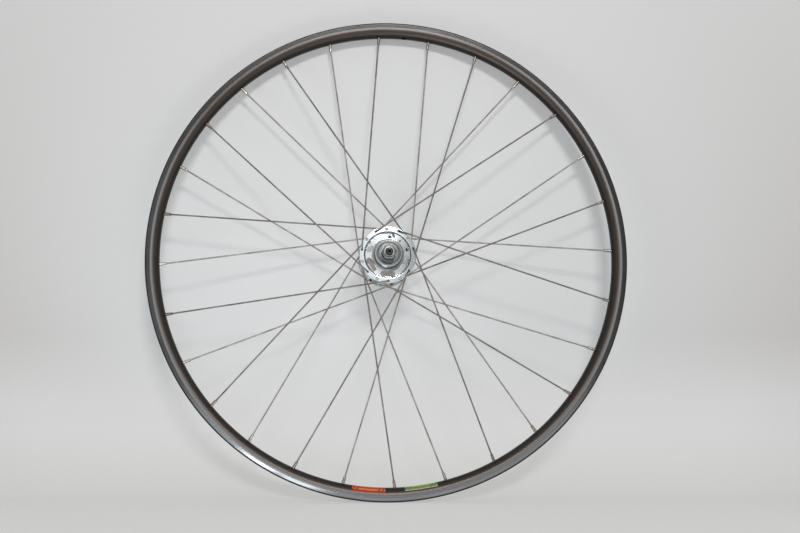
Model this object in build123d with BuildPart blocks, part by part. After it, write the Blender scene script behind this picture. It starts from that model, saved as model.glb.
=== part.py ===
from build123d import *
from math import cos, radians, sin, sqrt
import os

# Rear wheel of a road bicycle, without tyre, freewheel or skewer.
# The axle lies along Y, the drive side faces -Y, +Z is up, and the origin is on the axle in the
# rim's middle plane. Lengths are in millimetres, angles in degrees from +X towards +Z.

# Rim: a hollow section for a glued tyre
rim_diameter = 634.0
rim_width = 20.0
rim_height = 17.3
lip_bevel = 1.5
bed_depth = 1.8
bed_wall = 1.2
side_wall = 1.3
belly_wall = 1.0
spoke_wall = 2.0
access_hole = 8.0
valve_hole = 6.5
valve_angle = 85.4

# Lacing
spoke_count = 28
crosses = 3
hole_stagger = 0.9

# Spokes and nipples
spoke_gauge = 2.0
spoke_head = 4.4
spoke_head_thickness = 1.4
nipple_width = 4.0
nipple_reach = 9.3
nipple_head = 6.0
nipple_head_height = 2.6
thread_depth = 8.0
nipple_tilt_room = 0.6

# Hub shell
right_flange_inner = 24.2
left_flange_inner = 34.2
flange_thickness = 3.6
flange_bevel = 0.5
hole_circle = 68.0
hole_edge = 2.8
rib_width = 6.8
web_thickness = 2.0
web_bevel = 1.0
slot_count = 6
slot_length = 19.0
slot_width = 7.5
slot_margin = 1.65
barrel_diameter = 28.0
barrel_bore = 21.0
flare_height = 6.0
flare_length = 9.0
shoulder_diameter = 41.2
freewheel_thread = 34.8
thread_length = 11.0
thread_bevel = 0.8
left_boss_diameter = 36.0

# Bearings, the same on both sides
ball_diameter = 6.35
ball_count = 9
ball_play = 0.18
ball_plane = 38.5
cup_wall = 1.08
cup_seat = 34.0
cup_length = 6.5
shell_mouth = 44.5
cap_recess = 0.5
cap_thickness = 0.8
cap_skirt = 3.0
cap_hole = 18.6

# Axle and what is screwed on it
axle_diameter = 10.0
axle_end_diameter = 9.5
axle_bore = 5.5
axle_end_length = 5.5
cone_nose = 36.5
cone_collar = 17.2
cone_end = 48.0
cone_flats = 15.0
cone_flats_length = 3.0
washer_diameter = 17.2
washer_thickness = 1.5
spacer_diameter = 15.2
locknut_width = 17.0
locknut_face = 13.8
locknut_face_height = 1.0
locknut_thickness = 5.0
over_locknuts = 120.0

# Clearances
spoke_clearance = 0.3
nipple_clearance = 0.35
race_clearance = 0.08
axle_clearance = 0.05
thread_clearance = 0.05
elbow_lift_outside = 1.6
elbow_lift_inside = 0.2

os.makedirs("parts", exist_ok=True)

rim_radius = rim_diameter / 2
half_width = rim_width / 2
apex_radius = rim_radius - rim_height
belly_centre = apex_radius + half_width
cavity_floor = apex_radius + spoke_wall
spoke_pitch = 360 / spoke_count
cross_angle = crosses * 2 * spoke_pitch
flange_radius = hole_circle / 2 + hole_edge
rib_radius = flange_radius - rib_width
slot_radius = rib_radius - slot_margin - slot_width / 2
race_radius = ball_diameter / 2 + race_clearance
ball_circle = (ball_diameter + ball_play) / sin(radians(180 / ball_count))
cup_diameter = ball_circle + ball_diameter + 2 * cup_wall
threaded_bore = axle_diameter / 2 + axle_clearance
axle_length = over_locknuts + 2 * axle_end_length


def on_wheel(radius, angle, y):
    """Point at a radius and angle about the axle."""
    return Vector(radius * cos(radians(angle)), y, radius * sin(radians(angle)))


def lace(number):
    """Head, elbow and rim points of a spoke, numbered clockwise from the valve on the drive side."""
    drive_side = number % 2 == 1
    leading = number % 4 in (0, 1)
    outward = -1 if drive_side else 1
    flange_inner = right_flange_inner if drive_side else left_flange_inner
    flange_outer = flange_inner + flange_thickness
    rim_angle = valve_angle + spoke_pitch / 2 - (number - 1) * spoke_pitch
    if leading:
        hub_angle = rim_angle + cross_angle
        head_y = flange_inner
        elbow_y = flange_outer + spoke_gauge / 2 + elbow_lift_outside
    else:
        hub_angle = rim_angle - cross_angle
        head_y = flange_outer
        elbow_y = flange_inner - spoke_gauge / 2 - elbow_lift_inside
    head = on_wheel(hole_circle / 2, hub_angle, outward * head_y)
    elbow = on_wheel(hole_circle / 2, hub_angle, outward * elbow_y)
    seat = on_wheel(apex_radius, rim_angle, outward * hole_stagger)
    return head, elbow, seat


def nipple_plane(number):
    """Plane across a spoke where it meets the rim, facing outwards along the spoke."""
    head, elbow, seat = lace(number)
    return Plane(origin=seat, x_dir=(0, 1, 0), z_dir=seat - elbow)


spoke_numbers = range(1, spoke_count + 1)
nipple_planes = [nipple_plane(number) for number in spoke_numbers]

# Rim: bevelled lips beside a hollow tyre bed, flat brake tracks and a half-round belly
with BuildPart() as rim:
    with BuildSketch(Plane.XY):
        with BuildLine():
            lip = half_width - lip_bevel
            track_top = rim_radius - lip_bevel
            ThreePointArc((rim_radius, -lip), (rim_radius - bed_depth, 0), (rim_radius, lip))
            Polyline((rim_radius, lip), (track_top, half_width), (belly_centre, half_width))
            ThreePointArc((belly_centre, half_width), (apex_radius, 0), (belly_centre, -half_width))
            Polyline((belly_centre, -half_width), (track_top, -half_width), (rim_radius, -lip))
        make_face()
        with BuildLine():
            cavity_top = rim_radius - bed_depth - bed_wall
            cavity_side = half_width - side_wall
            floor_side = sqrt((half_width - belly_wall) ** 2 - (half_width - spoke_wall) ** 2)
            Polyline(
                (cavity_top, -cavity_side),
                (belly_centre, -cavity_side),
                (cavity_floor, -floor_side),
                (cavity_floor, floor_side),
                (belly_centre, cavity_side),
                (cavity_top, cavity_side),
                close=True,
            )
        make_face(mode=Mode.SUBTRACT)
    revolve(axis=Axis.Y)
    # Spoke holes through the belly, drilled along the spokes
    with BuildSketch(*nipple_planes):
        RegularPolygon(nipple_width / 2 + nipple_clearance, 6, major_radius=False)
    extrude(amount=2 * spoke_wall, both=True, mode=Mode.SUBTRACT)
    # Wider holes in the tyre bed, through which the nipples are put in and turned
    with BuildSketch(*[plane.offset(cavity_top - apex_radius - bed_wall) for plane in nipple_planes]):
        RegularPolygon(access_hole / 2, 8, major_radius=False)
    extrude(amount=rim_height, mode=Mode.SUBTRACT)
    # Valve hole through both walls
    with BuildSketch(Plane(origin=(0, 0, 0), x_dir=(0, 1, 0), z_dir=on_wheel(1, valve_angle, 0))):
        Circle(valve_hole / 2)
    extrude(amount=rim_diameter, mode=Mode.SUBTRACT)
rim.part.label = "rim"
export_step(rim.part, "parts/rim.step")

# Spokes: wire with a flat head, mitred at the elbow, with flats that stand for the round
for number in spoke_numbers:
    head, elbow, seat = lace(number)
    along = (seat - elbow).normalized()
    mouth = seat - along * nipple_reach
    with BuildPart() as spoke:
        with BuildLine():
            Polyline(head, elbow, mouth + along * thread_depth)
        with BuildSketch(Plane(origin=head, x_dir=(1, 0, 0), z_dir=elbow - head)):
            RegularPolygon(spoke_gauge / 2, 8, major_radius=False)
        sweep(transition=Transition.RIGHT)
        with BuildSketch(Plane(origin=head, x_dir=(1, 0, 0), z_dir=head - elbow)):
            RegularPolygon(spoke_head / 2, 8, major_radius=False)
        extrude(amount=spoke_head_thickness)
    spoke.part.label = f"spoke_{number:02d}"
    export_step(spoke.part, f"parts/spoke_{number:02d}.step")

# Nipple: barrel with the spoke's thread at one end and a head at the other
with BuildPart() as nipple:
    seat_height = spoke_wall + nipple_tilt_room
    spoke_bore = spoke_gauge / cos(radians(180 / 8)) + 2 * thread_clearance
    with BuildSketch(Plane.XY.offset(-nipple_reach)):
        RegularPolygon(nipple_width / 2, 8, major_radius=False)
    extrude(amount=nipple_reach + seat_height)
    with BuildSketch(Plane.XY.offset(seat_height)):
        RegularPolygon(nipple_head / 2, 8, major_radius=False)
    extrude(amount=nipple_head_height)
    with BuildSketch(Plane.XY.offset(-nipple_reach)):
        Rectangle(spoke_bore, spoke_bore)
    extrude(amount=thread_depth, mode=Mode.SUBTRACT)

with BuildPart() as nipples:
    with Locations(*nipple_planes):
        add(nipple.part)
nipples.part.label = "nipples"
export_step(nipples.part, "parts/nipples.step")

# Hub shell: barrel, two slotted flanges with a raised rib at the spoke holes, and the thread
with BuildPart() as hub_shell:
    right_outer = right_flange_inner + flange_thickness
    left_outer = left_flange_inner + flange_thickness
    right_web = right_flange_inner + web_thickness
    left_web = left_flange_inner + web_thickness
    web_edge = rib_radius - web_bevel
    flare_top = barrel_diameter / 2 + flare_height
    thread_start = shell_mouth - thread_length
    with BuildSketch(Plane.XY):
        with BuildLine():
            Polyline(
                (cup_diameter / 2, -shell_mouth),
                (freewheel_thread / 2 - thread_bevel, -shell_mouth),
                (freewheel_thread / 2, -shell_mouth + thread_bevel),
                (freewheel_thread / 2, -thread_start),
                (shoulder_diameter / 2, -thread_start),
                (shoulder_diameter / 2, -right_web),
                (web_edge, -right_web),
                (rib_radius, -right_outer),
                (flange_radius - flange_bevel, -right_outer),
                (flange_radius, -right_outer + flange_bevel),
                (flange_radius, -right_flange_inner - flange_bevel),
                (flange_radius - flange_bevel, -right_flange_inner),
                (flare_top, -right_flange_inner),
                (barrel_diameter / 2, -right_flange_inner + flare_length),
                (barrel_diameter / 2, left_flange_inner - flare_length),
                (flare_top, left_flange_inner),
                (flange_radius - flange_bevel, left_flange_inner),
                (flange_radius, left_flange_inner + flange_bevel),
                (flange_radius, left_outer - flange_bevel),
                (flange_radius - flange_bevel, left_outer),
                (rib_radius, left_outer),
                (web_edge, left_web),
                (left_boss_diameter / 2, left_web),
                (left_boss_diameter / 2, shell_mouth - thread_bevel),
                (left_boss_diameter / 2 - thread_bevel, shell_mouth),
                (cup_diameter / 2, shell_mouth),
                (cup_diameter / 2, cup_seat),
                (barrel_bore / 2, cup_seat),
                (barrel_bore / 2, -cup_seat),
                (cup_diameter / 2, -cup_seat),
                close=True,
            )
        make_face()
    revolve(axis=Axis.Y)
    for outer_face, first_spoke in ((right_outer, 1), (-left_flange_inner, 2)):
        first_hole = valve_angle + (1.5 - first_spoke) * spoke_pitch + cross_angle
        with BuildSketch(Plane.XZ.offset(outer_face)):
            with PolarLocations(hole_circle / 2, spoke_count // 2, start_angle=first_hole):
                RegularPolygon(spoke_gauge / 2 + spoke_clearance, 6, major_radius=False)
            with PolarLocations(slot_radius, slot_count, start_angle=-90):
                SlotOverall(slot_length, slot_width, rotation=90)
        extrude(amount=-flange_thickness, mode=Mode.SUBTRACT)
hub_shell.part.label = "hub_shell"
export_step(hub_shell.part, "parts/hub_shell.step")

# Axle: threaded between the locknuts, plain at the ends, hollow for the skewer
with BuildPart(Plane.XZ) as axle:
    Cylinder(axle_diameter / 2, over_locknuts)
    Cylinder(axle_end_diameter / 2, axle_length)
    Cylinder(axle_bore / 2, axle_length, mode=Mode.SUBTRACT)
axle.part.label = "axle"
export_step(axle.part, "parts/axle.step")

# Ball with flats that stand for the round, its corners on the ball's true size
with BuildPart() as ball:
    cube = ball_diameter * (1 + sqrt(2)) / sqrt(5 + 2 * sqrt(2))
    Box(cube, cube, cube)
    chamfer(ball.edges(), cube * (1 - 1 / sqrt(2)))

# Ball sets, cups, cones, caps, washers, spacers and locknuts, mirrored from side to side
for side, outward in (("right", -1), ("left", 1)):
    cup_end = cup_seat + cup_length
    race_side = ball_circle / 2 + race_radius
    race_floor = ball_plane - race_radius
    race_turn = race_radius * (sqrt(2) - 1)

    # Loose balls between cup and cone
    with BuildPart(Plane.XZ.offset(-outward * ball_plane)) as balls:
        with PolarLocations(ball_circle / 2, ball_count):
            add(ball.part)
    balls.part.label = f"bearing_balls_{side}"
    export_step(balls.part, f"parts/bearing_balls_{side}.step")

    # Cup: hardened ring pressed into the shell, with the outer race at 45 degrees
    with BuildPart() as cup:
        with BuildSketch(Plane.XY):
            with BuildLine():
                Polyline(
                    (race_side, outward * cup_end),
                    (race_side, outward * (ball_plane - race_turn)),
                    (ball_circle / 2 + race_turn, outward * race_floor),
                    (ball_circle / 2, outward * race_floor),
                    (ball_circle / 2, outward * cup_seat),
                    (cup_diameter / 2, outward * cup_seat),
                    (cup_diameter / 2, outward * cup_end),
                    close=True,
                )
            make_face()
        revolve(axis=Axis.Y)
    cup.part.label = f"bearing_cup_{side}"
    export_step(cup.part, f"parts/bearing_cup_{side}.step")

    # Cone: inner race at 45 degrees, collar and two flats for a thin spanner
    with BuildPart() as cone:
        nose = ball_circle / 2 - race_radius
        race_start = ball_plane + race_turn
        with BuildSketch(Plane.XY):
            with BuildLine():
                Polyline(
                    (threaded_bore, outward * cone_nose),
                    (nose, outward * cone_nose),
                    (nose, outward * race_start),
                    (cone_collar / 2, outward * (race_start + cone_collar / 2 - nose)),
                    (cone_collar / 2, outward * cone_end),
                    (threaded_bore, outward * cone_end),
                    close=True,
                )
            make_face()
        revolve(axis=Axis.Y)
        with BuildSketch(Plane.XZ.offset(-outward * cone_end)):
            Rectangle(cone_collar, cone_collar)
            Rectangle(cone_collar, cone_flats, mode=Mode.SUBTRACT)
        extrude(amount=outward * cone_flats_length, mode=Mode.SUBTRACT)
    cone.part.label = f"cone_{side}"
    export_step(cone.part, f"parts/cone_{side}.step")

    # Dust cap: pressed sheet ring in the shell's mouth
    with BuildPart() as dust_cap:
        cap_face = shell_mouth - cap_recess
        with BuildSketch(Plane.XY):
            with BuildLine():
                Polyline(
                    (cap_hole / 2, outward * cap_face),
                    (cup_diameter / 2, outward * cap_face),
                    (cup_diameter / 2, outward * (cap_face - cap_skirt)),
                    (cup_diameter / 2 - cap_thickness, outward * (cap_face - cap_skirt)),
                    (cup_diameter / 2 - cap_thickness, outward * (cap_face - cap_thickness)),
                    (cap_hole / 2, outward * (cap_face - cap_thickness)),
                    close=True,
                )
            make_face()
        revolve(axis=Axis.Y)
    dust_cap.part.label = f"dust_cap_{side}"
    export_step(dust_cap.part, f"parts/dust_cap_{side}.step")

    # Washer and spacer between the cone and the locknut
    washer_end = cone_end + washer_thickness
    locknut_start = over_locknuts / 2 - locknut_thickness
    with BuildPart() as washer:
        with BuildSketch(Plane.XZ.offset(-outward * cone_end)):
            Circle(washer_diameter / 2)
            Circle(threaded_bore, mode=Mode.SUBTRACT)
        extrude(amount=-outward * washer_thickness)
    washer.part.label = f"washer_{side}"
    export_step(washer.part, f"parts/washer_{side}.step")

    with BuildPart() as spacer:
        with BuildSketch(Plane.XZ.offset(-outward * washer_end)):
            Circle(spacer_diameter / 2)
            Circle(threaded_bore, mode=Mode.SUBTRACT)
        extrude(amount=-outward * (locknut_start - washer_end))
    spacer.part.label = f"spacer_{side}"
    export_step(spacer.part, f"parts/spacer_{side}.step")

    # Locknut: hexagon with a round face that bears on the frame
    with BuildPart() as locknut:
        with BuildSketch(Plane.XZ.offset(-outward * locknut_start)):
            RegularPolygon(locknut_width / 2, 6, major_radius=False)
        extrude(amount=-outward * (locknut_thickness - locknut_face_height))
        with BuildSketch(Plane.XZ.offset(-outward * locknut_start)):
            Circle(locknut_face / 2)
        extrude(amount=-outward * locknut_thickness)
        with BuildSketch(Plane.XZ.offset(-outward * locknut_start)):
            Circle(threaded_bore)
        extrude(amount=-outward * locknut_thickness, mode=Mode.SUBTRACT)
    locknut.part.label = f"locknut_{side}"
    export_step(locknut.part, f"parts/locknut_{side}.step")
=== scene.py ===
from math import atan2, cos, pi, radians, sin, sqrt
import bmesh
import bpy
from mathutils import Matrix, Vector


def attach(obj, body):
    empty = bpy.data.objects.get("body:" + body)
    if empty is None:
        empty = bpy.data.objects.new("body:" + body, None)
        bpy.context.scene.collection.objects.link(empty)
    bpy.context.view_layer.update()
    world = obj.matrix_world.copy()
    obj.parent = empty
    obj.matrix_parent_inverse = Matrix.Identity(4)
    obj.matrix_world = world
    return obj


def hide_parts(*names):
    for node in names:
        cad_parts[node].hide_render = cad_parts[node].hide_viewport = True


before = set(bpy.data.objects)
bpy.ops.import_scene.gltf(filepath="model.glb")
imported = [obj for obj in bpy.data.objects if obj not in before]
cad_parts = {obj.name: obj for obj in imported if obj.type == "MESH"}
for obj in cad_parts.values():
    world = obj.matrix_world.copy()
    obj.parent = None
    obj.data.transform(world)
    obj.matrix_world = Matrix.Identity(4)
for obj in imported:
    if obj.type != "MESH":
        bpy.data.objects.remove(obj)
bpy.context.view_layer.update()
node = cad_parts

# Axle: a hollow steel rod for the skewer, threaded between the locknuts and turned down to plain
# ends. The steel is dark, oiled and slightly dirty, with fine marks from the lathe.
MARK_DEPTH = 0.00003
SHADE_FINENESS, SHADE_WANDER = 160.0, 0.64
SHADE_DARK, SHADE_LIGHT = 0.86, 1.08
GRIME_BELOW, GRIME_ABOVE = 0.12, 0.16
DIRT_DULLS = 0.22
DIRT_COVERS = 0.65
BORE_WALL = {"To": 0.0029}


def add(tree, kind, inputs=None, **settings):
    """Adds a shader node, sets it up, and gives each named input a value or a link."""
    made = tree.nodes.new(kind)
    for name, value in settings.items():
        setattr(made, name, value)
    for name, value in (inputs or {}).items():
        if isinstance(value, bpy.types.NodeSocket):
            tree.links.new(value, made.inputs[name])
        else:
            made.inputs[name].default_value = value
    return made


def math(tree, operation, a, b=0.0, clamp=False):
    """Output of a math node on two values or sockets."""
    return add(tree, "ShaderNodeMath", {0: a, 1: b}, operation=operation, use_clamp=clamp).outputs[0]


def ramp(tree, value, start, end):
    """Mask that grows from 0 to 1 while the value goes from start to end."""
    return add(tree, "ShaderNodeMapRange", {"Value": value, "From Min": start, "From Max": end}).outputs[0]


def between(tree, value, low, high):
    """Spreads a value of 0 to 1 over a range."""
    return add(tree, "ShaderNodeMapRange", {"Value": value, "To Min": low, "To Max": high}).outputs[0]


def mixed(tree, mask, colour_a, colour_b):
    """Colour that goes from a to b with the mask."""
    mix = add(tree, "ShaderNodeMix", data_type="RGBA")
    for socket, value in zip((mix.inputs[0], mix.inputs[6], mix.inputs[7]), (mask, colour_a, colour_b)):
        if isinstance(value, bpy.types.NodeSocket):
            tree.links.new(value, socket)
        elif isinstance(value, tuple):
            socket.default_value = (*value, 1.0)
        else:
            socket.default_value = value
    return mix.outputs[2]


def coordinates(tree, kind="Object"):
    """The shaded point's place along x, y and z."""
    return add(tree, "ShaderNodeSeparateXYZ", {0: add(tree, "ShaderNodeTexCoord").outputs[kind]}).outputs


def hypotenuse(tree, across, up):
    """Length of two coordinates together."""
    return math(tree, "SQRT", math(tree, "ADD", math(tree, "MULTIPLY", across, across),
                                   math(tree, "MULTIPLY", up, up)))


def about_axle(tree):
    """Distance from the axle, turn about it, and place along it, of the shaded point."""
    x, y, z = coordinates(tree)
    return hypotenuse(tree, x, z), math(tree, "ARCTAN2", z, x), y


def noise_round_axle(tree, fineness, wander, detail=3.0):
    """Noise in rings about the axle, fine across the rings, with slow changes along them."""
    radius, turn, along = about_axle(tree)
    place = add(tree, "ShaderNodeCombineXYZ", {0: math(tree, "MULTIPLY", radius, fineness),
                                               1: math(tree, "MULTIPLY", along, fineness),
                                               2: math(tree, "MULTIPLY", turn, wander)}).outputs[0]
    return add(tree, "ShaderNodeTexNoise", {"Vector": place, "Scale": 1.0, "Detail": detail,
                                            "Roughness": 0.55}).outputs[0]


def new_group(name, inputs, outputs):
    """Starts a shader node group with float inputs and outputs."""
    tree = bpy.data.node_groups.new(name, "ShaderNodeTree")
    for label, value in inputs.items():
        socket = tree.interface.new_socket(label, in_out="INPUT", socket_type="NodeSocketFloat")
        socket.default_value = value
    for label in outputs:
        tree.interface.new_socket(label, in_out="OUTPUT", socket_type="NodeSocketFloat")
    return tree, tree.nodes.new("NodeGroupInput"), tree.nodes.new("NodeGroupOutput")


def place_group(tree, group, **values):
    """Places a node group and sets its inputs."""
    made = tree.nodes.new("ShaderNodeGroup")
    made.node_tree = group
    for name, value in values.items():
        made.inputs[name].default_value = value
    return made.outputs


# Lathe marks: fine lines in rings round the axle, and a slower change of shade
lathe_marks, given, result = new_group("lathe_marks", {"Lines": 900.0, "Wander": 0.6}, ["Height", "Shade"])
fine_lines = noise_round_axle(lathe_marks, given.outputs["Lines"], given.outputs["Wander"])
lathe_marks.links.new(fine_lines, result.inputs["Height"])
lathe_marks.links.new(noise_round_axle(lathe_marks, SHADE_FINENESS, SHADE_WANDER), result.inputs["Shade"])

# Grime: a mask of old grease and dust, in patches of a few millimetres
grime, given, result = new_group("grime", {"Size": 140.0, "Amount": 0.5}, ["Mask"])
place = add(grime, "ShaderNodeTexCoord").outputs["Object"]
patches = add(grime, "ShaderNodeTexNoise", {"Vector": place, "Scale": given.outputs["Size"], "Detail": 5.0,
                                            "Roughness": 0.62}).outputs[0]
low_edge = math(grime, "SUBTRACT", 1.0, given.outputs["Amount"])
mask = ramp(grime, patches, math(grime, "SUBTRACT", low_edge, GRIME_BELOW),
            math(grime, "ADD", low_edge, GRIME_ABOVE))
grime.links.new(mask, result.inputs["Mask"])

# Ring zone: a mask of the surface between two distances from the axle, and between two distances
# along it from a middle place
ring_zone, given, result = new_group("ring_zone", {"From": -0.001, "To": 1.0, "Beyond": -1.0, "Within": 1.0,
                                                   "Middle": 0.0, "Soft": 0.0002}, ["Mask"])
radius, _, along = about_axle(ring_zone)
outboard = math(ring_zone, "ABSOLUTE", math(ring_zone, "SUBTRACT", along, given.outputs["Middle"]))
mask = 1.0
for more, less in ((radius, given.outputs["From"]), (given.outputs["To"], radius),
                   (outboard, given.outputs["Beyond"]), (given.outputs["Within"], outboard)):
    past = math(ring_zone, "SUBTRACT", more, less)
    mask = math(ring_zone, "MULTIPLY", math(ring_zone, "DIVIDE", past, given.outputs["Soft"], clamp=True), mask)
ring_zone.links.new(mask, result.inputs["Mask"])


def new_material(name):
    """Starts a material, and gives its node tree and its shader with it."""
    material = bpy.data.materials.new(name)
    material.use_nodes = True
    return material, material.node_tree, material.node_tree.nodes["Principled BSDF"]


def turned_metal(name, clean, dirty, roughness, dirt=0.4, lines=900.0, dirt_size=140.0, zones=(),
                 drawn=0.45, caked=None):
    """Turned metal: lathe marks in the shine and surface, and grime that dulls it in patches.
    The shine is drawn out across the marks, zones about the axle may have colours of their own, and dry
    dirt may be caked on one zone."""
    material, tree, shader = new_material(name)
    marks = place_group(tree, lathe_marks, Lines=lines)
    spots = place_group(tree, grime, Amount=dirt, Size=dirt_size)["Mask"]
    darker, lighter = tuple(SHADE_DARK * c for c in clean), tuple(min(1.0, SHADE_LIGHT * c) for c in clean)
    colour = mixed(tree, spots, mixed(tree, marks["Shade"], darker, lighter), dirty)
    shine = math(tree, "ADD", between(tree, marks["Height"], roughness - 0.06, roughness + 0.08),
                 math(tree, "MULTIPLY", spots, DIRT_DULLS))
    shader.inputs["Metallic"].default_value = 1.0
    if caked:
        mask = place_group(tree, ring_zone, **caked[0])["Mask"]
        colour = mixed(tree, mask, colour, mixed(tree, spots, *caked[1:]))
        bare_metal = math(tree, "SUBTRACT", 1.0, math(tree, "MULTIPLY", mask, DIRT_COVERS))
        tree.links.new(bare_metal, shader.inputs["Metallic"])
        shine = math(tree, "ADD", shine, math(tree, "MULTIPLY", mask, DIRT_DULLS))
    for zone, zone_colour in zones:
        colour = mixed(tree, place_group(tree, ring_zone, **zone)["Mask"], colour, zone_colour)
    tree.links.new(colour, shader.inputs["Base Color"])
    tree.links.new(shine, shader.inputs["Roughness"])
    bump = add(tree, "ShaderNodeBump", {"Height": marks["Height"], "Strength": 0.35, "Distance": MARK_DEPTH})
    tree.links.new(bump.outputs[0], shader.inputs["Normal"])
    x, _, z = coordinates(tree)
    round_axle = add(tree, "ShaderNodeCombineXYZ", {0: math(tree, "MULTIPLY", z, -1.0), 1: 0.0, 2: x})
    tree.links.new(round_axle.outputs[0], shader.inputs["Tangent"])
    shader.inputs["Anisotropic"].default_value = drawn
    shader.inputs["Anisotropic Rotation"].default_value = 0.25
    return material


def dress(name, material):
    """Gives a CAD node one material."""
    node[name].data.materials.clear()
    node[name].data.materials.append(material)


axle_steel = turned_metal("axle_steel", (0.027, 0.027, 0.027), (0.012, 0.011, 0.010), 0.34, dirt=0.45,
                          zones=((BORE_WALL, (0.85, 0.85, 0.84)),))
dress("axle", axle_steel)

# Ball bearings: nine loose steel balls a side between a cup pressed into the shell and a cone
# screwed on the axle. They are hardened, ground bright and greased, and the dust caps hide them.
bearing_steel = turned_metal("bearing_steel", (0.60, 0.60, 0.60), (0.16, 0.12, 0.06), 0.2, dirt=0.5)
cone_steel = turned_metal("cone_steel", (0.30, 0.297, 0.29), (0.07, 0.06, 0.05), 0.3, dirt=0.45)
for side in ("right", "left"):
    dress(f"bearing_balls_{side}", bearing_steel)
    dress(f"bearing_cup_{side}", bearing_steel)
    dress(f"cone_{side}", cone_steel)

# Washers, spacers and locknuts: they set the cones' play and the width over the ends. The nuts
# are plated steel, the washers plain steel and the spacers turned aluminium.
# painted highlight: a lighter ring on the nut's inner chamfer
NUT_EDGE_HIGHLIGHT = {"From": 0.0052, "To": 0.0061}
plated_steel = turned_metal("plated_steel", (0.175, 0.182, 0.184), (0.07, 0.065, 0.06), 0.24,
                            zones=((NUT_EDGE_HIGHLIGHT, (0.84, 0.84, 0.83)),))
spacer_alloy = turned_metal("spacer_alloy", (0.36, 0.36, 0.355), (0.13, 0.12, 0.11), 0.33)
for side in ("right", "left"):
    dress(f"washer_{side}", cone_steel)
    dress(f"spacer_{side}", spacer_alloy)
    dress(f"locknut_{side}", plated_steel)

# Hub shell: aluminium, forged and turned, with two high slotted flanges and the freewheel's
# thread on the drive side. It is polished bright and has dulled a little.
SPOKES = 28
SPOKE_PITCH = 2 * pi / SPOKES
CROSS_ANGLE = 6 * SPOKE_PITCH
VALVE_ANGLE = radians(85.4)
HOLE_CIRCLE_RADIUS = 0.034
SPOKE_HOLE_RADIUS = 0.0013
HOLE_SIDES = 20
FLANGE_INNER = {"right": 0.0242, "left": 0.0342}
FLANGE_THICKNESS = 0.0036
WEB_THICKNESS = 0.0020
SLOTS = 6
SLOT_CIRCLE_RADIUS = 0.0246
SLOT_WIDTH = 0.0075
SLOT_LENGTH = 0.0190
SLOT_END_STEPS = 16
EASED_EDGE = 0.00018
CUT_PAST = 0.001
SHARP_EDGE = 28.0
HUB_STEPS = 144
THREAD_RADIUS = 0.0174
THREAD_FROM, THREAD_TO = -0.0436, -0.0342
THREAD_RUN_IN = 0.0006
THREAD_ROWS = 54
FREEWHEEL_PITCH = 0.00105833
FREEWHEEL_GROOVE = 0.00055
GROOVE_STEEPNESS = 1.25
# Distance from the axle, place along it and corner radius, in millimetres, round the shell's section
drive_boss = ((13.801, -34.0, 0), (13.801, -44.5, 0.15), (16.6, -44.5, 0.1), (17.4, -43.7, 0.1))
shell_body = (
    (16.85, -34.1, 0), (16.85, -33.5, 0), (20.6, -33.5, 0.35), (20.6, -26.2, 0), (29.0, -26.2, 0.5),
    (30.0, -27.8, 1.5), (36.8, -27.8, 0.5), (36.8, -24.2, 0.5), (20.0, -24.2, 1.5), (14.0, -15.2, 6.0),
    (14.0, 25.2, 6.0), (20.0, 34.2, 1.5), (36.8, 34.2, 0.5), (36.8, 37.8, 0.5), (30.0, 37.8, 1.5),
    (29.0, 36.2, 0.5), (18.0, 36.2, 0), (18.0, 43.7, 0.1), (17.2, 44.5, 0.1), (13.801, 44.5, 0.15),
    (13.801, 34.0, 0), (10.5, 34.0, 0.3), (10.5, -34.0, 0.3))


def eased(before, points, after, steps=3, margin=0.12):
    """Rounds the corners of a run of outline points, with a point beside each arc to keep the flats flat."""
    run = [before, *points, after]
    rounded = []
    for one, two, three in zip(run, run[1:], run[2:]):
        corner, size = Vector(two[:2]), two[2]
        back = (Vector(one[:2]) - corner).normalized()
        on = (Vector(three[:2]) - corner).normalized()
        if not size:
            rounded.append(corner)
            continue
        half = back.angle(on) / 2
        centre = corner + (back + on).normalized() * size / sin(half)
        reach = size * cos(half) / sin(half)
        first, last = corner + back * reach - centre, corner + on * reach - centre
        sweep = first.angle_signed(last)
        rounded.append(corner + back * (reach + margin))
        for step in range(steps + 1):
            rounded.append(centre + Matrix.Rotation(-sweep * step / steps, 2) @ first)
        rounded.append(corner + on * (reach + margin))
    return [(r * 0.001, y * 0.001) for r, y in rounded]


def on_wheel(distance, angle, y):
    """Point at a distance and angle about the axle."""
    return Vector((distance * cos(angle), y, distance * sin(angle)))


def spoke_place(number):
    """Side, rim angle, hub angle and lead of a spoke, numbered clockwise from the valve on the drive side."""
    side = "right" if number % 2 else "left"
    leading = number % 4 in (0, 1)
    rim_angle = VALVE_ANGLE + SPOKE_PITCH / 2 - (number - 1) * SPOKE_PITCH
    return side, rim_angle, rim_angle + (CROSS_ANGLE if leading else -CROSS_ANGLE), leading


def skin(mesh, rings, closed_ends=True, round_again=False):
    """Joins rings of points, each with as many points, into a tube, or into a hoop that goes round again."""
    made = [[mesh.verts.new(point) for point in ring] for ring in rings]
    count = len(made[0])
    for one, two in zip(made, made[1:] + (made[:1] if round_again else [])):
        for k in range(count):
            mesh.faces.new((one[k], one[(k + 1) % count], two[(k + 1) % count], two[k]))
    if closed_ends:
        mesh.faces.new(made[0][::-1])
        mesh.faces.new(made[-1])


def piece(name, mesh, material, body, sharp=35.0):
    """Makes an object of a mesh, shades it smooth but for its sharp edges, and sets it on a body."""
    bmesh.ops.recalc_face_normals(mesh, faces=mesh.faces)
    data = bpy.data.meshes.new(name)
    mesh.to_mesh(data)
    mesh.free()
    data.shade_smooth()
    data.set_sharp_from_angle(angle=radians(sharp))
    data.materials.append(material)
    made = bpy.data.objects.new(name, data)
    bpy.context.scene.collection.objects.link(made)
    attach(made, body)
    return made


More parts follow.
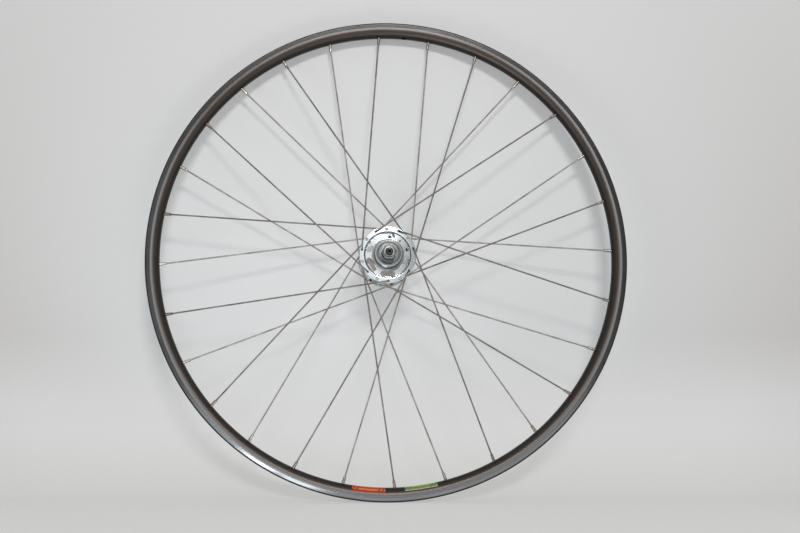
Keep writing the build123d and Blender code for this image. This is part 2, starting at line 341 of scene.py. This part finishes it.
def cut_out(whole, cutters):
    """Takes the cutters' closed forms out of a piece."""
    bmesh.ops.recalc_face_normals(cutters, faces=cutters.faces)
    data = bpy.data.meshes.new("cutters")
    cutters.to_mesh(data)
    cutters.free()
    tool = bpy.data.objects.new("cutters", data)
    bpy.context.scene.collection.objects.link(tool)
    cut = whole.modifiers.new("cut", "BOOLEAN")
    cut.object = tool
    cut.solver = "EXACT"
    left = bpy.data.meshes.new_from_object(whole.evaluated_get(bpy.context.evaluated_depsgraph_get()))
    whole.modifiers.clear()
    clean = bmesh.new()
    clean.from_mesh(left)
    bmesh.ops.dissolve_degenerate(clean, dist=0.000001, edges=clean.edges)
    clean.to_mesh(left)
    clean.free()
    whole.data = left
    whole.data.set_sharp_from_angle(angle=radians(SHARP_EDGE))
    bpy.data.objects.remove(tool)


def punch(cutters, side, thickness, outline):
    """Adds a cutter through a flange, from an outline that grows at both faces to ease the edges."""
    out = -1 if side == "right" else 1
    inner = FLANGE_INNER[side]
    outer = inner + thickness
    levels = ((outer + CUT_PAST, EASED_EDGE), (outer, EASED_EDGE), (outer - EASED_EDGE, 0),
              (inner + EASED_EDGE, 0), (inner, EASED_EDGE), (inner - CUT_PAST, EASED_EDGE))
    skin(cutters, [[Vector((x, out * y, z)) for x, z in outline(grow)] for y, grow in levels])


boss_rows = eased(shell_body[-1], drive_boss, (17.4, -34.2))
body_rows = eased((16.85, -34.2), shell_body, drive_boss[0])
rings = []
for k in range(HUB_STEPS):
    angle = 2 * pi * k / HUB_STEPS
    ring = [on_wheel(r, angle, y) for r, y in boss_rows]
    for row in range(THREAD_ROWS + 1):
        y = THREAD_FROM + (THREAD_TO - THREAD_FROM) * row / THREAD_ROWS
        wave = abs(2 * ((y / FREEWHEEL_PITCH + k / HUB_STEPS) % 1.0) - 1)
        groove = FREEWHEEL_GROOVE * min(1.0, (y - THREAD_FROM) / THREAD_RUN_IN) * min(1.0, GROOVE_STEEPNESS * wave)
        ring.append(on_wheel(THREAD_RADIUS - groove, angle, y))
    ring += [on_wheel(r, angle, y) for r, y in body_rows]
    rings.append(ring)
mesh = bmesh.new()
skin(mesh, rings, closed_ends=False, round_again=True)

BETWEEN_FLANGES = {"To": 0.0292, "Middle": 0.005, "Within": 0.0310, "Soft": 0.0015}
# painted shade: dark brown in the walls of the flange slots
SLOT_WALL_SHADE = {"From": 0.0205, "To": 0.0290, "Middle": 0.005, "Beyond": 0.0293, "Within": 0.0310}
TURNED_BOSS = {"From": 0.0100, "To": 0.0209, "Middle": 0.005, "Beyond": 0.0311}
# painted highlights: lighter rings at the shoulder's edge and at the boss's front edge
SHOULDER_EDGE_HIGHLIGHT = {"From": 0.0196, "To": 0.0204, "Middle": 0.005, "Beyond": 0.0320}
BOSS_EDGE_HIGHLIGHT = {"From": 0.0160, "To": 0.0170, "Beyond": 0.0400}
hub_alloy = turned_metal(
    "hub_alloy", (0.80, 0.85, 0.885), (0.61, 0.65, 0.68), 0.17, dirt=0.28, lines=700.0, dirt_size=90.0, drawn=0.4,
    caked=(BETWEEN_FLANGES, (0.62, 0.58, 0.55), (0.40, 0.35, 0.32)),
    zones=((SLOT_WALL_SHADE, (0.10, 0.086, 0.076)), (TURNED_BOSS, (0.265, 0.285, 0.293)),
           (SHOULDER_EDGE_HIGHLIGHT, (0.56, 0.57, 0.58)), (BOSS_EDGE_HIGHLIGHT, (0.72, 0.73, 0.74))))
shell = piece("hub_body", mesh, hub_alloy, "wheel", SHARP_EDGE)
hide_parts("hub_shell")


def round_hole(middle, grow):
    """Outline of a spoke hole."""
    size = SPOKE_HOLE_RADIUS + grow
    return [(middle.x + size * cos(2 * pi * k / HOLE_SIDES), middle.z + size * sin(2 * pi * k / HOLE_SIDES))
            for k in range(HOLE_SIDES)]


def round_ended_slot(angle, grow):
    """Outline of a flange slot, which lies across the given angle."""
    size = SLOT_WIDTH / 2 + grow
    middle = on_wheel(SLOT_CIRCLE_RADIUS, angle, 0)
    sideways = on_wheel((SLOT_LENGTH - SLOT_WIDTH) / 2, angle + pi / 2, 0)
    outline = []
    for end, start in ((1, angle), (-1, angle + pi)):
        for k in range(SLOT_END_STEPS + 1):
            turn = start + pi * k / SLOT_END_STEPS
            outline.append((middle.x + end * sideways.x + size * cos(turn),
                            middle.z + end * sideways.z + size * sin(turn)))
    return outline


cutters = bmesh.new()
for number in range(1, SPOKES + 1):
    side, _, hub_angle, _ = spoke_place(number)
    middle = on_wheel(HOLE_CIRCLE_RADIUS, hub_angle, 0)
    punch(cutters, side, FLANGE_THICKNESS, lambda grow: round_hole(middle, grow))
for side in ("right", "left"):
    for slot in range(SLOTS):
        angle = 2 * pi * slot / SLOTS - pi / 2
        punch(cutters, side, WEB_THICKNESS, lambda grow: round_ended_slot(angle, grow))
cut_out(shell, cutters)

# Dust caps: thin pressed steel rings, pushed into the mouths of the shell to keep dirt from the
# bearings. They have dulled. The lighter lip at the hole is a painted highlight, and the dark skirt
# is painted shade of the groove where the cap meets the shell.
# painted shade: the skirt is darkened where the cap meets the shell's mouth
CAP_SKIRT_SHADE = {"From": 0.0128}
# painted highlight: a lighter ring on the cap's lip at the hole
CAP_LIP_HIGHLIGHT = {"From": 0.0092, "To": 0.0100}
cap_steel = turned_metal("cap_steel", (0.265, 0.280, 0.284), (0.08, 0.075, 0.07), 0.30, drawn=0.5,
                         zones=((CAP_SKIRT_SHADE, (0.06, 0.06, 0.06)), (CAP_LIP_HIGHLIGHT, (0.70, 0.70, 0.69))))
for side in ("right", "left"):
    dress(f"dust_cap_{side}", cap_steel)

# Spokes: drawn stainless wire with a flat head in the flange and a bend beside it, laced so that
# each crosses three others. The wire is grey and a little brown with age.
WIRE_RADIUS = 0.0010
WIRE_SIDES = 12
HEAD_RADIUS = 0.0022
HEAD_THICKNESS = 0.0014
HEAD_ROWS = ((-1.0, 0.5), (-0.92, 0.8), (-0.7, 0.96), (-0.4, 1.0), (-0.1, 0.92), (0.0, 0.78))
NECK_LENGTH = 0.0003
NECK_RADIUS = 0.0011
BEND_RADIUS = 0.0021
BEND_STEPS = 7
LIFT_OUTSIDE = 0.0016
LIFT_INSIDE = 0.0002
HOLE_STAGGER = 0.0009
RIM_RADIUS = 0.317
RIM_HEIGHT = 0.0173
APEX_RADIUS = RIM_RADIUS - RIM_HEIGHT
NIPPLE_REACH = 0.0093
THREAD_DEPTH = 0.0080
# the drive side's wire is set darker than the other side's
DRIVE_SIDE_WIRE, DRIVE_SIDE_BROWN = (0.345, 0.331, 0.320), (0.223, 0.196, 0.175)
OTHER_SIDE_WIRE, OTHER_SIDE_BROWN = (0.51, 0.495, 0.48), (0.335, 0.298, 0.270)
# painted shade: the wire is darkened at its bend beside the flange's outer face, where the hole's shade falls
BESIDE_OUTER_FACE, BEND_PAINTED_SHADE = 0.0346, (0.05, 0.046, 0.042)
OVER_THE_HEAD, BRIGHT_HEAD = 0.0365, (0.52, 0.52, 0.52)


def lace(number):
    """Head, bend and rim points of a spoke."""
    side, rim_angle, hub_angle, leading = spoke_place(number)
    outward = -1 if side == "right" else 1
    inner = FLANGE_INNER[side]
    outer = inner + FLANGE_THICKNESS
    if leading:
        head_y, bend_y = inner, outer + WIRE_RADIUS + LIFT_OUTSIDE
    else:
        head_y, bend_y = outer, inner - WIRE_RADIUS - LIFT_INSIDE
    return (on_wheel(HOLE_CIRCLE_RADIUS, hub_angle, outward * head_y),
            on_wheel(HOLE_CIRCLE_RADIUS, hub_angle, outward * bend_y),
            on_wheel(APEX_RADIUS, rim_angle, outward * HOLE_STAGGER))


def spoke_wire(name, clean, browned, zone, zone_colour):
    """Drawn wire, browned in long patches, with a tone of its own beside the flange: painted shade at the bend of
    the outside spokes, and a lighter head on the others.
    """
    material, tree, shader = new_material(name)
    spots = place_group(tree, grime, Amount=0.5, Size=60.0)["Mask"]
    beside_flange = place_group(tree, ring_zone, To=zone, Beyond=0.02, Soft=0.0006)["Mask"]
    colour = mixed(tree, beside_flange, mixed(tree, spots, clean, browned), zone_colour)
    tree.links.new(colour, shader.inputs["Base Color"])
    tree.links.new(between(tree, spots, 0.66, 0.76), shader.inputs["Roughness"])
    shader.inputs["Metallic"].default_value = 1.0
    return material


wires = {
    ("right", True): spoke_wire("wire_right_out", DRIVE_SIDE_WIRE, DRIVE_SIDE_BROWN, BESIDE_OUTER_FACE, BEND_PAINTED_SHADE),
    ("right", False): spoke_wire("wire_right_in", DRIVE_SIDE_WIRE, DRIVE_SIDE_BROWN, OVER_THE_HEAD, BRIGHT_HEAD),
    ("left", True): spoke_wire("wire_left_out", OTHER_SIDE_WIRE, OTHER_SIDE_BROWN, BESIDE_OUTER_FACE, BEND_PAINTED_SHADE),
    ("left", False): spoke_wire("wire_left_in", OTHER_SIDE_WIRE, OTHER_SIDE_BROWN, OVER_THE_HEAD, BRIGHT_HEAD)}
for number in range(1, SPOKES + 1):
    head, bend, seat = lace(number)
    shank = (bend - head).normalized()
    along_wire = (seat - bend).normalized()
    across = shank.cross(along_wire).normalized()
    bend_angle = shank.angle(along_wire)
    setback = BEND_RADIUS * sin(bend_angle / 2) / cos(bend_angle / 2)
    centre = bend - shank * setback + (along_wire - shank * along_wire.dot(shank)).normalized() * BEND_RADIUS
    path = [(head + shank * depth * HEAD_THICKNESS, shank, HEAD_RADIUS * size) for depth, size in HEAD_ROWS]
    path.append((head + shank * NECK_LENGTH, shank, NECK_RADIUS))
    for step in range(BEND_STEPS + 1):
        turned = Matrix.Rotation(bend_angle * step / BEND_STEPS, 3, across)
        path.append((centre + turned @ (bend - shank * setback - centre), turned @ shank, WIRE_RADIUS))
    path.append((seat - along_wire * (NIPPLE_REACH - THREAD_DEPTH), along_wire, WIRE_RADIUS))
    rings = []
    for point, direction, size in path:
        up = across.cross(direction)
        rings.append([point + (across * cos(2 * pi * k / WIRE_SIDES) + up * sin(2 * pi * k / WIRE_SIDES)) * size
                      for k in range(WIRE_SIDES)])
    mesh = bmesh.new()
    skin(mesh, rings)
    side, _, _, leading = spoke_place(number)
    spoke = piece(f"spoke_wire_{number:02d}", mesh, wires[side, leading], "wheel")
    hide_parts(f"spoke_{number:02d}")

# Nipples: small threaded sleeves with four flats for the key and a round head inside the rim. They
# are brass with nickel plating, rubbed through to brown on some.
NIPPLE_RADIUS = 0.0020
NIPPLE_MOUTH = 0.00135
NIPPLE_TIP = 0.00150
NIPPLE_FLAT = 0.00180
NIPPLE_HEAD_RADIUS = 0.0030
NIPPLE_SEAT = 0.0026
NIPPLE_HEAD_SIDE = 0.0016
NIPPLE_HEAD_HEIGHT = 0.0026
NIPPLE_SIDES = 24
# Depth along the spoke, radius, and whether the row has the four flats
nipple_rows = (
    (-NIPPLE_REACH, NIPPLE_MOUTH, False), (-NIPPLE_REACH, NIPPLE_TIP, False),
    (-0.00900, 0.00195, True), (-0.00500, NIPPLE_RADIUS, True), (-0.00440, NIPPLE_RADIUS, False),
    (NIPPLE_SEAT, NIPPLE_RADIUS, False), (NIPPLE_SEAT, NIPPLE_HEAD_RADIUS, False),
    (NIPPLE_SEAT + NIPPLE_HEAD_SIDE, NIPPLE_HEAD_RADIUS, False),
    (NIPPLE_SEAT + NIPPLE_HEAD_HEIGHT, NIPPLE_RADIUS, False))
nipple_metal, tree, shader = new_material("nipple_metal")
spots = place_group(tree, grime, Amount=0.5, Size=330.0)["Mask"]
each = add(tree, "ShaderNodeNewGeometry").outputs["Random Per Island"]
plating = mixed(tree, each, (0.66, 0.65, 0.63), (0.28, 0.24, 0.21))
tree.links.new(mixed(tree, spots, plating, (0.26, 0.21, 0.17)), shader.inputs["Base Color"])
tree.links.new(between(tree, spots, 0.40, 0.56), shader.inputs["Roughness"])
shader.inputs["Metallic"].default_value = 1.0
mesh = bmesh.new()
for number in range(1, SPOKES + 1):
    _, bend, seat = lace(number)
    along_wire = (seat - bend).normalized()
    across = Vector((0, 1, 0)).cross(along_wire).normalized()
    up = along_wire.cross(across)
    rings = []
    for depth, size, flat in nipple_rows:
        ring = []
        for k in range(NIPPLE_SIDES):
            angle = 2 * pi * k / NIPPLE_SIDES
            reach = size
            if flat:
                reach = min(size, NIPPLE_FLAT / max(abs(cos(angle)), abs(sin(angle))))
            ring.append(seat + along_wire * depth + (across * cos(angle) + up * sin(angle)) * reach)
        rings.append(ring)
    skin(mesh, rings)
nipple_set = piece("nipple_set", mesh, nipple_metal, "wheel")
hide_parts("nipples")

# Rim: a hollow aluminium section, rolled and pinned, with a bed for a glued tyre and flat brake
# tracks. It is dark anodised, and the brakes have worn the tracks to grey.
HALF_WIDTH = 0.010
LIP_BEVEL = 0.0015
LIP_STEPS = 6
LIP_ROOM = 0.0001
FLAT_MARGIN = 0.0002
BED_DEPTH = 0.0018
BED_WALL = 0.0012
SIDE_WALL = 0.0013
BELLY_WALL = 0.0010
SPOKE_WALL = 0.0020
BELLY_CENTRE = APEX_RADIUS + HALF_WIDTH
RIM_STEPS = 560
BELLY_STEPS = 28
BED_STEPS = 10


def arc(centre, size, first, last, steps):
    """Points on an arc in a section, from one angle to another."""
    return [(centre[0] + size * cos(first + (last - first) * k / steps),
             centre[1] + size * sin(first + (last - first) * k / steps)) for k in range(steps + 1)]


lip = HALF_WIDTH - LIP_BEVEL
bed_radius = (lip * lip + BED_DEPTH * BED_DEPTH) / (2 * BED_DEPTH)
bed_angle = atan2(lip, bed_radius - BED_DEPTH)
lip_radius = RIM_RADIUS - LIP_ROOM
track_top = lip_radius - LIP_BEVEL
outline = arc((lip_radius - BED_DEPTH + bed_radius, 0), bed_radius, pi + bed_angle, pi - bed_angle, BED_STEPS)
outline += arc((track_top, lip), LIP_BEVEL, 0, pi / 2, LIP_STEPS)[1:]
outline += [(track_top - FLAT_MARGIN, HALF_WIDTH), (BELLY_CENTRE + FLAT_MARGIN, HALF_WIDTH)]
outline += arc((BELLY_CENTRE, 0), HALF_WIDTH, pi / 2, 3 * pi / 2, BELLY_STEPS)
outline += [(BELLY_CENTRE + FLAT_MARGIN, -HALF_WIDTH), (track_top - FLAT_MARGIN, -HALF_WIDTH)]
outline += arc((track_top, -lip), LIP_BEVEL, -pi / 2, 0, LIP_STEPS)[:-1]
cavity_top = RIM_RADIUS - BED_DEPTH - BED_WALL
cavity_side = HALF_WIDTH - SIDE_WALL
cavity_floor = APEX_RADIUS + SPOKE_WALL
floor_side = sqrt((HALF_WIDTH - BELLY_WALL) ** 2 - (HALF_WIDTH - SPOKE_WALL) ** 2)
cavity = [(cavity_top, cavity_side), (cavity_top, -cavity_side), (BELLY_CENTRE, -cavity_side),
          (cavity_floor, -floor_side), (cavity_floor, floor_side), (BELLY_CENTRE, cavity_side)]
mesh = bmesh.new()
for section in (outline, cavity):
    rings = [[on_wheel(r, 2 * pi * k / RIM_STEPS, y) for r, y in section] for k in range(RIM_STEPS)]
    skin(mesh, rings, closed_ends=False, round_again=True)

# Limits of the worn track, the lighter band below it that is a painted highlight, and the lip and
# inner belly that are darkened with painted shade, as places where each starts and is full
SIDE_FACE = (0.0096, 0.0099)
TRACK_FOOT, TRACK_TOP = (0.3095, 0.3104), (0.3150, 0.3143)
BAND_FOOT, BAND_TOP = (0.3068, 0.3088), (0.3114, 0.3103)
LIP_EDGE = (0.3145, 0.3153)
INNER_BELLY_SHADE = (0.3030, 0.3004)
TRACK_LIGHTEST_AT = radians(230.0)
TRACK_LIGHT_SWING = 0.32
BAND_CUT_AT = radians(100.0)
STREAKS, PATCHES = (2600.0, 9.0, 4.0), (60.0, 5.0, 4.0)
TRACK_POLISH, BAND_DULLS, LIP_DULLS = 0.24, 0.16, 0.10
STREAK_DEPTH = 0.00002
anodised, tree, shader = new_material("dark_anodised")
radius, turn, along = about_axle(tree)
streaks = noise_round_axle(tree, *STREAKS)
patches = noise_round_axle(tree, *PATCHES)
on_side = ramp(tree, math(tree, "ABSOLUTE", along), *SIDE_FACE)
lip_edge = ramp(tree, radius, *LIP_EDGE)
flat_track = math(tree, "MULTIPLY", math(tree, "MULTIPLY", on_side, ramp(tree, radius, *TRACK_FOOT)),
                  ramp(tree, radius, *TRACK_TOP))
# painted light: on top of the real wear, the track is made lightest towards the lower left (painted highlight) and
# darkest towards the upper right (painted shade)
toward_painted_highlight = math(tree, "COSINE", math(tree, "SUBTRACT", turn, TRACK_LIGHTEST_AT))
wear_with_painted_light = math(tree, "ADD", math(tree, "MULTIPLY", toward_painted_highlight, TRACK_LIGHT_SWING), 1.0 - TRACK_LIGHT_SWING)
track = math(tree, "MULTIPLY", flat_track, wear_with_painted_light)
uneven = math(tree, "ADD", math(tree, "MULTIPLY", streaks, 0.6), math(tree, "MULTIPLY", patches, 0.7))
worn_and_painted_light = math(tree, "MULTIPLY", track, between(tree, ramp(tree, uneven, 0.35, 0.85), 0.35, 1.0))
dark = mixed(tree, patches, (0.066, 0.056, 0.051), (0.098, 0.084, 0.077))
# painted shade: the lip's rounded edge is darker than the anodising
dark = mixed(tree, lip_edge, dark, (0.036, 0.031, 0.029))
# painted shade: the belly is darkened towards its inner edge
dark = mixed(tree, ramp(tree, radius, *INNER_BELLY_SHADE), dark, (0.030, 0.026, 0.023))
colour = mixed(tree, worn_and_painted_light, dark, (0.43, 0.455, 0.49))
# painted highlight: a lighter band where the belly begins, mixed in below, and taken out around the top
band_cut = math(tree, "COSINE", math(tree, "SUBTRACT", turn, BAND_CUT_AT))
band_cut = math(tree, "MULTIPLY", band_cut, 1.3, clamp=True)
band_cut = math(tree, "MULTIPLY", band_cut, band_cut)
band = math(tree, "MULTIPLY", math(tree, "MULTIPLY", on_side, ramp(tree, radius, *BAND_FOOT)),
            ramp(tree, radius, *BAND_TOP))
band = math(tree, "MULTIPLY", band, math(tree, "SUBTRACT", 1.0, band_cut))
tree.links.new(mixed(tree, band, colour, (0.25, 0.253, 0.260)), shader.inputs["Base Color"])
shader.inputs["Metallic"].default_value = 0.9
shine = math(tree, "SUBTRACT", between(tree, streaks, 0.35, 0.43),
             math(tree, "MULTIPLY", flat_track, TRACK_POLISH))
shine = math(tree, "ADD", shine, math(tree, "MULTIPLY", band, BAND_DULLS))
shine = math(tree, "ADD", shine, math(tree, "MULTIPLY", lip_edge, LIP_DULLS))
tree.links.new(shine, shader.inputs["Roughness"])
bump = add(tree, "ShaderNodeBump", {"Height": streaks, "Strength": 0.10, "Distance": STREAK_DEPTH})
tree.links.new(bump.outputs[0], shader.inputs["Normal"])
rim = piece("rim_hoop", mesh, anodised, "wheel", SHARP_EDGE)
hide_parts("rim")

# Drilled holes: one for each nipple through the belly, a wider one above it in the tyre bed to
# put the nipple in, and one for the valve through both walls.
NIPPLE_CLEARANCE = 0.00035
ACCESS_HOLE_RADIUS = 0.0040
VALVE_HOLE_RADIUS = 0.00325
BELLY_DRILL = 0.004
BED_DRILL = 0.024
DRILL_SIDES = 24
DRILL_TURN = 0.37
drills = bmesh.new()


def drill(centre, direction, size, start, end):
    """Adds a rod to the drills, along a direction from one depth to another."""
    across = Vector((0, 1, 0)).cross(direction).normalized()
    up = direction.cross(across)
    turns = [2 * pi * (k + DRILL_TURN) / DRILL_SIDES for k in range(DRILL_SIDES)]
    skin(drills, [[centre + direction * depth + (across * cos(t) + up * sin(t)) * size for t in turns]
                  for depth in (start, end)])


for number in range(1, SPOKES + 1):
    _, bend, seat = lace(number)
    along_wire = (seat - bend).normalized()
    drill(seat, along_wire, NIPPLE_RADIUS + NIPPLE_CLEARANCE, -BELLY_DRILL, BELLY_DRILL)
    drill(seat, along_wire, ACCESS_HOLE_RADIUS, cavity_top - APEX_RADIUS - BED_WALL, BED_DRILL)
outward = on_wheel(1, VALVE_ANGLE, 0)
drill(outward * APEX_RADIUS, outward, VALVE_HOLE_RADIUS, -BELLY_DRILL, BED_DRILL)
cut_out(rim, drills)

# Labels: two thin printed strips stuck on the belly beside the lowest spokes, one red and one green.
# They carry plain slanted stripes, and their clear coat is scuffed.
LABEL_LENGTH = radians(8.1)
LABEL_STEPS = 28
LABEL_ROWS = 12
LABEL_GAP = 0.00002
LABEL_THICKNESS = 0.00007
LABEL_BARS, LABEL_SLANT = 9.0, 1.4
LABEL_BAR_FROM = 0.62
LABEL_BARE_HALF = 0.27
LABEL_BAND_AT, LABEL_BAND_HALF = 0.66, 0.11
LABEL_EDGE_FROM = 0.90


def label(name, centre, first, last, ground, band, edge, bars):
    """Strip on the belly, from one section angle to another, in a ground, a band, an edge and bars."""
    section_angles = [first + (last - first) * j / LABEL_ROWS for j in range(LABEL_ROWS + 1)]
    rings = []
    for i in range(LABEL_STEPS + 1):
        angle = centre + LABEL_LENGTH * (i / LABEL_STEPS - 0.5)
        low, high = ([on_wheel(BELLY_CENTRE - size * cos(t), angle, -size * sin(t)) for t in section_angles]
                     for size in (HALF_WIDTH + LABEL_GAP, HALF_WIDTH + LABEL_GAP + LABEL_THICKNESS))
        rings.append([*low, *reversed(high)])
    mesh = bmesh.new()
    skin(mesh, rings, closed_ends=False)
    mesh.verts.ensure_lookup_table()
    count = 2 * (LABEL_ROWS + 1)
    for start in (0, LABEL_STEPS * count):
        for j in range(LABEL_ROWS):
            mesh.faces.new([mesh.verts[start + k] for k in (j, j + 1, count - 2 - j, count - 1 - j)])
    material, tree, shader = new_material(name)
    radius, turn, along = about_axle(tree)
    length = math(tree, "DIVIDE", math(tree, "SUBTRACT", turn, centre), LABEL_LENGTH)
    section = math(tree, "ARCTAN2", math(tree, "MULTIPLY", along, -1.0),
                   math(tree, "SUBTRACT", BELLY_CENTRE, radius))
    width = math(tree, "DIVIDE", math(tree, "SUBTRACT", section, first), last - first)
    slant = math(tree, "ADD", math(tree, "MULTIPLY", length, LABEL_BARS),
                 math(tree, "MULTIPLY", width, LABEL_SLANT))
    bar = math(tree, "GREATER_THAN", math(tree, "FRACT", slant), LABEL_BAR_FROM)
    near_end = math(tree, "GREATER_THAN", math(tree, "ABSOLUTE", length), LABEL_BARE_HALF)
    from_band = math(tree, "ABSOLUTE", math(tree, "SUBTRACT", width, LABEL_BAND_AT))
    in_band = math(tree, "LESS_THAN", from_band, LABEL_BAND_HALF)
    in_edge = math(tree, "GREATER_THAN", width, LABEL_EDGE_FROM)
    colour = mixed(tree, in_band, ground, band)
    colour = mixed(tree, math(tree, "MULTIPLY", bar, near_end), colour, bars)
    colour = mixed(tree, in_edge, colour, edge)
    scuffs = place_group(tree, grime, Amount=0.42, Size=260.0)["Mask"]
    worn_print = mixed(tree, math(tree, "MULTIPLY", scuffs, 0.45), colour, tuple(0.4 * c for c in ground))
    tree.links.new(worn_print, shader.inputs["Base Color"])
    tree.links.new(between(tree, scuffs, 0.3, 0.55), shader.inputs["Roughness"])
    piece(name, mesh, material, "wheel")


label("label_red", radians(-94.6), radians(-12), radians(64), (0.60, 0.025, 0.02), (0.80, 0.30, 0.03),
      (0.62, 0.05, 0.03), (0.30, 0.01, 0.012))
label("label_green", radians(-81.7), radians(-12), radians(50), (0.42, 0.42, 0.05), (0.10, 0.30, 0.10),
      (0.55, 0.72, 0.62), (0.05, 0.18, 0.07))

# Backdrop: one pale sheet that lies under the wheel and rises close behind it, and a second that
# carries the floor on. It is plain matt paper, and its back is left clear so that the wheel can be
# looked at from behind.
FLOOR_GAP = 0.0004
FLOOR = -RIM_RADIUS - FLOOR_GAP
PAPER_GLOW = 0.66
SHEET_HALF = 2.6
SHEET_FRONT = (-2.4, -1.2, -0.4)
SHEET_BACK = 2.4
SHEET_RISE = 1.15
LEAN = radians(10.1)
WALL_GAP = 0.0105
SWEEP = 0.09
SWEEP_STEPS = 24
foot = WALL_GAP + (RIM_RADIUS - FLOOR) * sin(LEAN) / cos(LEAN)
sweep_turn = pi / 2 + LEAN
tangent = SWEEP * sin(sweep_turn / 2) / cos(sweep_turn / 2)
profile = [(y, FLOOR) for y in SHEET_FRONT]
for k in range(SWEEP_STEPS + 1):
    turned = sweep_turn * k / SWEEP_STEPS
    profile.append((foot - tangent + SWEEP * sin(turned), FLOOR + SWEEP - SWEEP * cos(turned)))
profile.append((foot - SHEET_RISE * sin(LEAN), FLOOR + SHEET_RISE * cos(LEAN)))

# The paper's own colour takes the wheel's shadow, and its glow, seen only by the camera and in
# reflections, is painted light that makes up the pale tone of the room. Both change from behind the
# wheel to the edges, the top, the lower sheet and the floor: painted shade darkens the edges, the top
# and the far floor, and on the lower sheet the glow stands in for most of the lamp's light.
paper, tree, shader = new_material("backdrop_paper")
x, _, z = coordinates(tree)
away = hypotenuse(tree, x, z)
edge = ramp(tree, away, 0.34, 0.60)
far_painted_shade = ramp(tree, away, 0.55, 1.00)
high = ramp(tree, z, -0.05, 0.42)
lower = ramp(tree, z, -0.10, -0.20)
low = ramp(tree, z, -0.235, FLOOR + 0.012)
# painted shade: colour and glow fall towards the edges, the top and far from the wheel
tone = mixed(tree, edge, (0.600, 0.608, 0.614), (0.540, 0.532, 0.524))
tone = mixed(tree, high, tone, (0.580, 0.582, 0.584))
tone = mixed(tree, lower, tone, (0.250, 0.251, 0.250))
tree.links.new(mixed(tree, low, tone, (0.300, 0.302, 0.295)), shader.inputs["Base Color"])
glow = mixed(tree, edge, (0.414, 0.420, 0.424), (0.378, 0.374, 0.368))
glow = mixed(tree, high, glow, (0.368, 0.369, 0.370))
glow = mixed(tree, lower, glow, mixed(tree, far_painted_shade, (0.782, 0.787, 0.786), (0.600, 0.600, 0.598)))
floor_glow = mixed(tree, far_painted_shade, (0.672, 0.673, 0.657), (0.560, 0.560, 0.550))
tree.links.new(mixed(tree, low, glow, floor_glow), shader.inputs["Emission Color"])
rays = add(tree, "ShaderNodeLightPath").outputs
seen = math(tree, "ADD", math(tree, "ADD", rays["Is Camera Ray"], rays["Is Glossy Ray"]),
            rays["Is Transmission Ray"], clamp=True)
tree.links.new(math(tree, "MULTIPLY", seen, PAPER_GLOW), shader.inputs["Emission Strength"])
shader.inputs["Roughness"].default_value = 0.9
shader.inputs["Specular IOR Level"].default_value = 0.1
back = add(tree, "ShaderNodeNewGeometry").outputs["Backfacing"]
clear = add(tree, "ShaderNodeBsdfTransparent")
shown = add(tree, "ShaderNodeMixShader", {0: back, 1: shader.outputs[0], 2: clear.outputs[0]})
tree.links.new(shown.outputs[0], tree.nodes["Material Output"].inputs["Surface"])


def sheet(name, rows):
    """Smooth sheet of the paper through rows of places, from one side of the room to the other."""
    data = bpy.data.meshes.new(name)
    points = [(side, y, z) for y, z in rows for side in (-SHEET_HALF, SHEET_HALF)]
    faces = [(2 * k, 2 * k + 1, 2 * k + 3, 2 * k + 2) for k in range(len(rows) - 1)]
    data.from_pydata(points, [], faces)
    data.shade_smooth()
    data.materials.append(paper)
    made = bpy.data.objects.new(name, data)
    bpy.context.scene.collection.objects.link(made)
    return made


backdrop = sheet("backdrop", profile)
floor_behind = sheet("floor_behind", [(foot - tangent, FLOOR), (SHEET_BACK, FLOOR)])

# Light: a small soft box high in front of the wheel throws the shadows, and a weak tall one by the
# camera shows in the hub. Two pale cards on the floor light the lower rim, in a grey room.
CARD_HEIGHT = FLOOR + 0.003
FACING_UP = (pi, 0, 0)


def soft_box(name, place, size, power, colour, turned=None):
    """Area lamp, aimed at the axle if it isn't turned another way."""
    lamp = bpy.data.lights.new(name, "AREA")
    lamp.shape = "RECTANGLE"
    lamp.size, lamp.size_y = size
    lamp.energy = power
    lamp.color = colour
    made = bpy.data.objects.new(name, lamp)
    made.location = place
    made.rotation_euler = turned or (-Vector(place)).to_track_quat("-Z", "Y").to_euler()
    bpy.context.scene.collection.objects.link(made)


soft_box("high_box", (0.12, -1.70, 0.73), (0.44, 0.20), 14.0, (1.0, 0.99, 0.98))
soft_box("front_box", (-0.12, -1.70, 0.18), (0.44, 0.80), 1.0, (0.95, 0.98, 1.0))
soft_box("floor_card", (-0.150, -0.36, CARD_HEIGHT), (0.21, 0.22), 0.70, (0.97, 0.985, 1.0), FACING_UP)
soft_box("near_card", (-0.085, -0.17, CARD_HEIGHT), (0.13, 0.14), 0.14, (0.95, 0.98, 1.0), FACING_UP)
room = bpy.data.worlds.new("room")
room.use_nodes = True
tree = room.node_tree
_, y, _ = coordinates(tree, "Generated")
walls = mixed(tree, ramp(tree, y, -0.90, -0.55), (0.150, 0.143, 0.138), (0.36, 0.365, 0.37))
tree.links.new(walls, tree.nodes["Background"].inputs["Color"])
bpy.context.scene.world = room
bpy.context.scene.view_settings.view_transform = "Standard"

# Camera: held by hand about a metre in front of the wheel, a little below the axle and left of
# it, and level enough that the wheel stands upright in the frame.
CAMERA_PLACE = (-0.05512, -0.96864, -0.12596)
CAMERA_LOOK = (0.01434, 0.99675, 0.07931)
CAMERA_UP = (-0.00152, -0.0793, 0.99685)
camera_data = bpy.data.cameras.new("camera")
camera_data.lens = 33.15
camera_data.sensor_width = 36.0
camera_data.shift_x = 0.05565
camera_data.shift_y = 0.03475
camera = bpy.data.objects.new("camera", camera_data)
look = Vector(CAMERA_LOOK).normalized()
right = look.cross(Vector(CAMERA_UP)).normalized()
turned = Matrix((right, right.cross(look), -look)).transposed()
camera.matrix_world = Matrix.Translation(CAMERA_PLACE) @ turned.to_4x4()
bpy.context.scene.collection.objects.link(camera)
bpy.context.scene.camera = camera

bpy.context.view_layer.update()
